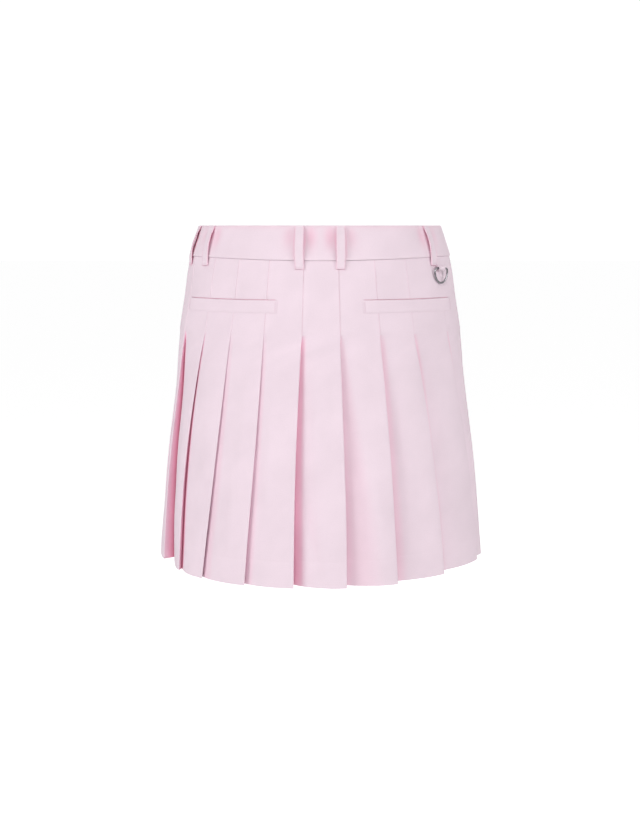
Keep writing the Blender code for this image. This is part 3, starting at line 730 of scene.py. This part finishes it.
fly_across = np.linspace(-FLY_WIDTH / 2, FLY_WIDTH / 2, 21)
fly_angles = angle_across(FLY_END, math.pi, fly_across)[None, :]
fly_drops = np.linspace(BAND_HEIGHT + GAP, FLY_END, 30)[:, None]
fly_edge = np.minimum(np.arange(21), np.arange(21)[::-1])[None, :]
fly_rise = np.interp(fly_edge, (0, 1, 3), (0.5, 0.9, 1.0))
fly_rise = fly_rise * np.interp(fly_drops, (FLY_END - 0.002, FLY_END), (1.0, 0.5))
fly = lay_on("fly", fly_angles, fly_drops, GAP * 0.5, GAP * 0.5 + FLY_THICK * fly_rise)
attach(fly, "garment")
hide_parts("fly_placket")
turn = np.linspace(0.0, math.pi / 2, 14)
j_across = np.concatenate((np.full(20, -0.0125), -0.0125 + 0.022 * (1 - np.cos(turn))))
j_drops = np.concatenate((np.linspace(BAND_HEIGHT + 0.002, 0.086, 20), 0.086 + 0.021 * np.sin(turn)))
stitch_row("fly_stitch", j_drops, angle_across(j_drops, math.pi, j_across), GAP * 0.5 + FLY_THICK + 0.0001)
stitch_row("fly_edge_stitch", np.linspace(BAND_HEIGHT + 0.002, 0.107, 20),
           angle_across(FLY_END, math.pi, np.full(20, 0.0145)), GAP * 0.5 + FLY_THICK + 0.0001)


# ---- Shorts --------------------------------------------------------------------------------------
# The shorts under the skirt, two legs of the same twill joined to one hip, hidden in the
# photograph and made plainly: hip, crotch and two short legs, their hems turned up and stitched.
SHORTS = np.array((
    # drop, inset, share, inner
    (0.034, 0.0022, 0.00, 0.0000),
    (0.060, 0.0040, 0.00, 0.0000),
    (0.100, 0.0070, 0.00, 0.0000),
    (0.145, 0.0160, 0.00, 0.0000),
    (0.180, 0.0230, 0.35, 0.0000),
    (0.205, 0.0270, 0.65, 0.0000),
    (0.220, 0.0295, 0.85, 0.0000),
    (0.229, 0.0310, 0.95, 0.0000),
    (0.235, 0.0320, 1.00, 0.0000),
    (0.255, 0.0350, 1.00, 0.0030),
    (0.285, 0.0400, 1.00, 0.0060),
    (0.318, 0.0460, 1.00, 0.0090),
))
SHORTS_PANELS = (
    # name, +1 for the wearer's right, +1 for the front
    ("shorts_back_left", -1, -1),
    ("shorts_back_right", 1, -1),
    ("shorts_front_left", -1, 1),
    ("shorts_front_right", 1, 1),
)
SHORTS_HEM_LINE, SHORTS_HEM_BULK, SHORTS_DENT = 0.2980, 0.0003, 0.00015
shorts_hem_rows = SHORTS_HEM_LINE + np.array((-0.0008, 0.0, 0.0008))
shorts_drops = np.sort(np.concatenate((np.linspace(0.0345, 0.3175, 46), SHORTS[:, 0], shorts_hem_rows)))


def shorts_line(drop, side, face, turns):
    """Points of a panel at a drop, by their share of the way from the side seam to the inseam."""
    inset, share, inner = read_at(drop, SHORTS[:, 0], SHORTS[:, 1:])
    half_width, half_depth = (half - inset for half in form_size(drop))
    edge = GAP / 2 + share * CLOTH / 2 + inner
    middle = share * (half_width + edge) / 2
    reach = half_width - middle
    open_angle = min(math.acos(max(-1.0, (edge - middle) / reach)), math.pi - GAP / 2 / half_depth)
    soft = np.interp(drop, (0.12, 0.25), (0.0, 0.010))
    soft = 1.0 + soft * np.sin(5.0 * face * turns + 21.0 * drop)
    start = GAP / 2 / half_depth
    angles = start + turns * (open_angle - start)
    return np.column_stack((side * (middle + reach * np.cos(angles)),
                            face * half_depth * soft * np.sin(angles)))


for name, side, face in SHORTS_PANELS:
    turns = np.linspace(0.0, 1.0, 37)
    outer_rows, inner_rows = [], []
    for row, drop in enumerate(shorts_drops):
        line = shorts_line(drop, side, face, turns)
        half = SHELL / 2 + (SHORTS_HEM_BULK if drop > SHORTS_HEM_LINE else 0.0)
        half -= SHORTS_DENT if abs(drop - SHORTS_HEM_LINE) < 0.0004 else 0.0
        for rows, edge in zip((outer_rows, inner_rows), offset_line(line, half)):
            height = np.full(len(turns), -drop)
            if row == 0:
                height = -seam_drop(np.arctan2(edge[:, 0], -edge[:, 1])) - 2 * GAP
            rows.append(np.column_stack((edge, height)))
    leg = cloth_object("cloth_" + name, np.array(outer_rows), np.array(inner_rows), shorts_drops[:, None])
    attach(leg, "garment")
    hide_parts(name)


# ---- Waistband -----------------------------------------------------------------------------------
# Two layers of twill with a firm interlining, sewn to the top of skirt and shorts, in one back and
# two front pieces. At the front the wearer's right end laps over the left. Its edges are soft.
BAND_INSIDE, BAND_OUTSIDE = -0.0017, 0.0013
BAND_LAP, SEAM = 0.012, 0.00003
BAND_RADIUS = 0.115      # from which a degree's width on the band is taken
# half-widths of a dent beside a loop and of a loop's painted shadow on the band
DENT_REACH, LOOP_SHADOW_REACH = 0.0055, 0.0056
BAND_DENTS = (
    # degrees from the centre back and depth in mm of a soft dent beside a belt loop, darkened with painted
    # shade
    (-13.6, 0.8), (-4.2, 1.3), (4.6, 1.3), (13.6, 0.8), (-53.5, 1.1), (-66.0, 0.6), (52.5, 1.1),
    (64.0, 0.6), (-83.0, 0.8), (106.0, 0.8), (118.0, 0.8), (-145.0, 0.9), (-156.0, 0.8), (145.0, 0.9),
    (156.0, 0.8),
)
PAINTED_LOOP_SHADOWS = (
    # degrees from the centre back of the belt loops whose painted shadow falls on the band, how dark it
    # gets, and at which share of the band's height it is darkest
    (-150.2, 0.5, 0.4), (-76.7, 1.0, 0.5), (-59.6, 0.75, 0.2), (-9.0, 0.38, 0.4), (9.0, 0.38, 0.4),
    (58.5, 0.95, 0.15), (111.7, 0.5, 0.4), (150.2, 0.5, 0.4),
)
half_waist = girth_table(0.0)[1][-1]
band_middle = (BAND_INSIDE + BAND_OUTSIDE) / 2
band_shares = np.array((0.0, 0.008, 0.025, 0.055, 0.11, 0.2, 0.32, 0.44, 0.56, 0.68, 0.8, 0.88, 0.94,
                        0.972, 0.990, 1.0))[:, None]
band_round = np.interp(np.minimum(band_shares, 1 - band_shares), (0.0, 0.008, 0.025, 0.055),
                       (0.35, 0.68, 0.92, 1.0))
BACK_POINTS, FRONT_POINTS, LAP_POINTS = 181, 84, 14
back_arcs = np.linspace(-half_waist / 2 + SEAM, half_waist / 2 - SEAM, BACK_POINTS)
band_pieces = [("waistband_back", back_arcs, BAND_INSIDE, BAND_OUTSIDE, (0.356, 0.0365))]
band_ends = (
    # name, side, clearance, inner and outer lift of the lapped end
    ("waistband_front_right", 1, 0.0, band_middle + GAP / 2, BAND_OUTSIDE),
    ("waistband_front_left", -1, GAP, BAND_INSIDE, band_middle - GAP / 2),
)
for name, sign, clearance, inside, outside in band_ends:
    step = half_waist - BAND_LAP - clearance
    whole = np.linspace(half_waist / 2 + SEAM, step, FRONT_POINTS)
    lapped = np.linspace(step + GAP, half_waist + BAND_LAP - 2 * clearance, LAP_POINTS)
    inner = np.repeat((BAND_INSIDE, inside), (FRONT_POINTS, LAP_POINTS))
    outer = np.repeat((BAND_OUTSIDE, outside), (FRONT_POINTS, LAP_POINTS))
    band_pieces.append((name, sign * np.concatenate((whole, lapped)), inner, outer, (0.188, 0.0334)))
for name, arcs, inner, outer, flat in band_pieces:
    angles = arc_to_angle(0.0, arcs)[None, :]
    drops = band_shares * seam_drop(angles)
    inner, outer = (np.broadcast_to(lift, arcs.shape)[None, :] for lift in (inner, outer))
    middle, half = (inner + outer) / 2, (outer - inner) / 2
    pucker = 0.00022 * (1 + np.sin(23.0 * angles + 4.0 * band_shares)) * np.sin(math.pi * band_shares) ** 2
    pucker = pucker + 0.00018 * (1 + np.sin(61.0 * angles)) * band_shares ** 6
    # painted shade on the band: a little along its folded top edge, more in the dents and under each loop's
    # painted shadow
    band_painted_shade = 0.10 * np.exp(-(band_shares / 0.10) ** 2) + 0.0 * angles
    for place, dent in BAND_DENTS:
        away = (angles - math.radians(place)) * BAND_RADIUS / DENT_REACH
        hollow = np.exp(-away ** 2 - ((band_shares - 0.32) / 0.34) ** 2)
        pucker = pucker + dent / 1000 * hollow
        band_painted_shade = np.maximum(band_painted_shade, 0.22 * dent * hollow)
    for place, darkest_painted_shade, share in PAINTED_LOOP_SHADOWS:
        away = (angles - math.radians(place)) * BAND_RADIUS / LOOP_SHADOW_REACH
        band_loop_painted_shadow = 0.4 + 0.6 * np.exp(-((band_shares - share) / 0.25) ** 2)
        band_loop_painted_shadow = band_loop_painted_shadow * np.sin(math.pi * band_shares) ** 0.3
        band_painted_shade = np.maximum(band_painted_shade, darkest_painted_shade * band_loop_painted_shadow * np.exp(-away ** 8))
    band = lay_on("cloth_" + name, angles, drops, middle - half * band_round,
                  middle + half * band_round - pucker * (half > 0.0010), depth=band_painted_shade, inner_depth=0.0)
    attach(band, "garment")
    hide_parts(name)


# ---- Belt loops ----------------------------------------------------------------------------------
# Eight narrow strips of twill folded to three layers. Each is turned under at both ends and
# stitched across there, to the top of the waistband and to the yoke, and stands off in between.
LOOPS = (
    # name, degrees from the centre back at the top and at the bottom, in mm how far its middle
    # stands off and how much further one edge does
    ("belt_loop_back_left", -9.2, -8.4, 3.2, 0.3),
    ("belt_loop_back_right", 9.2, 8.4, 3.2, -0.2),
    ("belt_loop_side_back_left", -59.6, -57.6, 1.9, 0.6),
    ("belt_loop_side_back_right", 58.0, 57.0, 1.6, -0.6),
    ("belt_loop_side_left", -77.0, -76.0, 1.5, 0.9),
    ("belt_loop_side_right", 112.0, 111.0, 2.8, -0.8),
    ("belt_loop_front_left", -150.0, -151.0, 3.2, 0.5),
    ("belt_loop_front_right", 150.0, 151.0, 3.0, -0.4),
)
LOOP_WIDTH, LOOP_THICK, LOOP_TAIL = 0.0096, 0.0015, 0.0088
LOOP_WAVER = 0.00018
loop_across = LOOP_WIDTH / 2 * np.array((-1.0, -0.96, -0.86, -0.70, -0.55, -0.25, 0.0,
                                         0.25, 0.55, 0.70, 0.86, 0.96, 1.0))
loop_round = np.array((0.30, 0.66, 0.90, 1.0, 0.97, 0.92, 0.90, 0.92, 0.97, 1.0, 0.90, 0.66, 0.30))
for n, (name, top_angle, bottom_angle, bulge, tilt) in enumerate(LOOPS):
    bulge, tilt = bulge / 1000, tilt / 1000
    seam = float(seam_drop(math.radians(bottom_angle)))
    on_band = BAND_OUTSIDE + GAP + LOOP_THICK / 2
    on_yoke = GAP + LOOP_THICK / 2
    table = np.array((
        # drop, lift of the strip's middle
        (0.0004, on_band),
        (0.0036, on_band + 0.10 * bulge),
        (0.0100, on_band + 0.75 * bulge),
        (0.0185, on_band + bulge),
        (0.0265, on_band + 0.60 * bulge),
        (seam - 0.0008, on_band + 0.05 * bulge),
        (seam + 0.0014, on_band),
        (seam + 0.0046, on_yoke),
        (seam + LOOP_TAIL, on_yoke),
    ))
    knots = np.concatenate(([0.0], np.cumsum(np.hypot(*np.diff(table, axis=0).T))))
    places = np.linspace(0.0, knots[-1], 57)
    places = np.sort(np.concatenate((places, (0.0002, 0.0005, knots[-1] - 0.0005, knots[-1] - 0.0002))))
    view = read_at(places, knots, table)
    for _ in range(3):
        view[1:-1] = 0.25 * view[:-2] + 0.5 * view[1:-1] + 0.25 * view[2:]
    free = np.interp(view[:, :1], (0.002, 0.010, 0.024, seam), (0.0, 1.0, 1.0, 0.0))
    ends = np.minimum(places, knots[-1] - places)
    thick = LOOP_THICK / 2 * np.interp(ends, (0.0, 0.0002, 0.0005), (0.45, 0.85, 1.0))
    sides = offset_line(view, thick)
    grids = []
    for side in (sides[1], sides[0]):
        drops = view[:, :1] + (side[:, :1] - view[:, :1]) * loop_round
        lifts = view[:, 1:] + (side[:, 1:] - view[:, 1:]) * loop_round
        lifts = lifts + tilt * free * loop_across / (LOOP_WIDTH / 2)
        share = drops / (seam + LOOP_TAIL)
        middle = np.radians(top_angle + share * (bottom_angle - top_angle))
        waver = LOOP_WAVER * np.sin(170.0 * drops + 1.7 * n)
        grids.append(on_form(drops, angle_across(drops, middle, loop_across + waver), lifts))
    # painted shade along the strip's edges and a painted shadow line at its bottom end; painted shade on its
    # inner face, darkest behind the side loop on the wearer's left, where a dark gap shows
    loop_edge_painted_shade = 0.20 * np.clip(np.abs(loop_across) / (LOOP_WIDTH / 2) - 0.6, 0.0, 0.4) / 0.4
    loop_edge_painted_shade = np.maximum(loop_edge_painted_shade, 0.35 * (knots[-1] - places[:, None] < 0.0004))
    loop_inner_painted_shade = 0.9 if name == "belt_loop_side_left" else 0.45
    strip = cloth_object(name + "_strip", *grids, places[:, None], loop_across, loop_edge_painted_shade, loop_inner_painted_shade)
    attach(strip, "garment")
    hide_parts(name)
    for end, drop, lift in (("top", 0.0020, on_band), ("bottom", seam + LOOP_TAIL - 0.0016, on_yoke)):
        middle = math.radians(top_angle if end == "top" else bottom_angle)
        width = np.linspace(-0.0040, 0.0040, 9)
        stitch_row(f"{name}_stitch_{end}", np.full(9, drop), angle_across(drop, middle, width),
                   lift + LOOP_THICK / 2, pitch=0.0016)


# ---- Ring tab ------------------------------------------------------------------------------------
# A short strip of twill folded round the ring's bar, its end sewn up under the side-back loop on
# the wearer's right.
RING_DROP, RING_ANGLE, RING_LIFT, RING_YAW = 0.0457, 60.0, 0.0046, 40.0
TAB_WIDTH, TAB_THICK, TAB_TAIL, TUNNEL_RADIUS = 0.0086, 0.0012, 0.0030, 0.00135
ring_centre = on_form(RING_DROP, math.radians(RING_ANGLE), RING_LIFT)
ring_yaw = math.radians(RING_YAW)
ring_along = np.array((math.cos(ring_yaw), math.sin(ring_yaw), 0.0))
ring_away = np.array((math.sin(ring_yaw), -math.cos(ring_yaw), 0.0))
up = np.array((0.0, 0.0, 1.0))
tab_radius = TUNNEL_RADIUS + TAB_THICK / 2
tab_turn = np.radians(np.linspace(180.0, 476.0, 49))
tab_view = np.concatenate((np.column_stack((np.full(6, -tab_radius), np.linspace(TAB_TAIL, 0.0004, 6))),
                           tab_radius * np.column_stack((np.cos(tab_turn), np.sin(tab_turn)))))
tab_across = TAB_WIDTH / 2 * np.array((-1.0, -0.96, -0.86, -0.70, -0.3, 0.0, 0.3, 0.70, 0.86, 0.96, 1.0))
tab_round = np.array((0.30, 0.66, 0.90, 1.0, 0.95, 0.93, 0.95, 1.0, 0.90, 0.66, 0.30))
tab_grids = []
for side in offset_line(tab_view, TAB_THICK / 2):
    flat_points = tab_view[:, None, :] + (side - tab_view)[:, None, :] * tab_round[None, :, None]
    tab_grids.append(ring_centre + flat_points[..., :1] * ring_away + flat_points[..., 1:] * up
                     + tab_across[None, :, None] * ring_along)
tab_length = lengths_along(tab_view)
tab = cloth_object("ring_tab_strip", *tab_grids, tab_length[:, None], tab_across)
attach(tab, "garment")
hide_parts("ring_tab")


# ---- D-ring --------------------------------------------------------------------------------------
# A plain ring of 2 mm steel wire, polished and plated dark silver, bent to a straight bar that
# turns in the tab and a round bow that hangs below it.
RING_WIDTH, RING_HEIGHT, RING_WIRE, RING_CORNER = 0.0205, 0.0178, 0.0020, 0.0035
half_ring, tall_ring = (RING_WIDTH - RING_WIRE) / 2, RING_HEIGHT - RING_WIRE
WIRE_SIDES = 16
corner = np.linspace(math.pi / 2, 0.0, 9)
bow = np.linspace(0.0, math.pi, 49)[1:-1]
right_corner = np.column_stack((half_ring - RING_CORNER * (1 - np.cos(corner)),
                                -RING_CORNER * (1 - np.sin(corner))))
ring_line = np.concatenate((right_corner,
                            np.column_stack((half_ring * np.cos(bow),
                                             -RING_CORNER - (tall_ring - RING_CORNER) * np.sin(bow))),
                            right_corner[::-1] * (-1.0, 1.0)))
tangents = unit(np.roll(ring_line, -1, axis=0) - np.roll(ring_line, 1, axis=0))
wire_turn = 2 * math.pi * (np.arange(WIRE_SIDES) + 0.5) / WIRE_SIDES
ring_points = []
for (x, z), (tx, tz) in zip(ring_line, tangents):
    outward = -tz * ring_along + tx * up
    middle = ring_centre + x * ring_along + z * up
    ring_points += [tuple(middle + RING_WIRE / 2 * (math.cos(t) * outward + math.sin(t) * ring_away))
                    for t in wire_turn]
steel, steel_shader = new_finish("plated_steel", {"Metallic": 1.0})
smudge = mottle(steel, steel_shader, 260.0, (0.26, 0.25, 0.27), (0.44, 0.43, 0.45))
polish = set_inputs(steel.node_tree.nodes.new("ShaderNodeMapRange"), {"To Min": 0.10, "To Max": 0.26})
steel.node_tree.links.new(smudge.outputs["Fac"], polish.inputs["Value"])
steel.node_tree.links.new(polish.outputs["Result"], steel_shader.inputs["Roughness"])
ring = new_piece("d_ring_wire", ring_points, tube_faces(len(ring_line), WIRE_SIDES, closed=True), steel)
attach(ring, "ring")
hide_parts("d_ring")


# ---- Waist button --------------------------------------------------------------------------------
# A four-hole resin button, pale pink with a raised rim, sewn to the outer end of the waistband
# with pink thread. Hidden in the photograph.
BUTTON_RADIUS, BUTTON_THICK = 0.0075, 0.0028
resin, resin_shader = new_finish("button_resin", {"Roughness": 0.28, "Coat Weight": 0.3})
mottle(resin, resin_shader, 180.0, (0.84, 0.72, 0.76), (0.92, 0.84, 0.87))
button_drop = BAND_HEIGHT / 2
top_point, low_point = on_form(0.0, math.pi, 0.0), on_form(BAND_HEIGHT, math.pi, 0.0)
slope = math.atan2(low_point[1] - top_point[1], BAND_HEIGHT)
button_normal = Vector((0.0, math.cos(slope), math.sin(slope)))
profile = np.array((
    # radius and height, as shares of the button's radius and thickness
    (0.030, 0.00), (0.780, 0.00), (0.860, 0.03), (0.960, 0.16), (1.000, 0.36), (1.000, 0.62),
    (0.960, 0.86), (0.900, 0.97), (0.840, 1.00), (0.770, 0.96), (0.700, 0.84), (0.640, 0.77),
    (0.030, 0.75),
)) * (BUTTON_RADIUS, BUTTON_THICK)
RIM_POINTS = 48
rim_turn = 2 * math.pi * np.arange(RIM_POINTS) / RIM_POINTS
button_points = []
for radius, height in profile:
    button_points += [(radius * math.cos(t), radius * math.sin(t), height) for t in rim_turn]
button = new_piece("button_disc", button_points, tube_faces(len(profile), RIM_POINTS), resin)
button.data.set_sharp_from_angle(angle=math.radians(60.0))
button.location = Vector(on_form(button_drop, math.pi, BAND_OUTSIDE)) + button_normal * GAP
button.rotation_euler = button_normal.to_track_quat("Z", "Y").to_euler()
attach(button, "garment")
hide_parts("waist_button")
for n, shift in enumerate((-0.0011, 0.0011)):
    width = np.linspace(-0.0017, 0.0017, 5)
    stitch_row(f"button_thread_{n}", np.full(5, button_drop + shift),
               angle_across(button_drop, math.pi, width), BAND_OUTSIDE + GAP + 0.80 * BUTTON_THICK,
               pitch=0.0034, radius=0.00034)
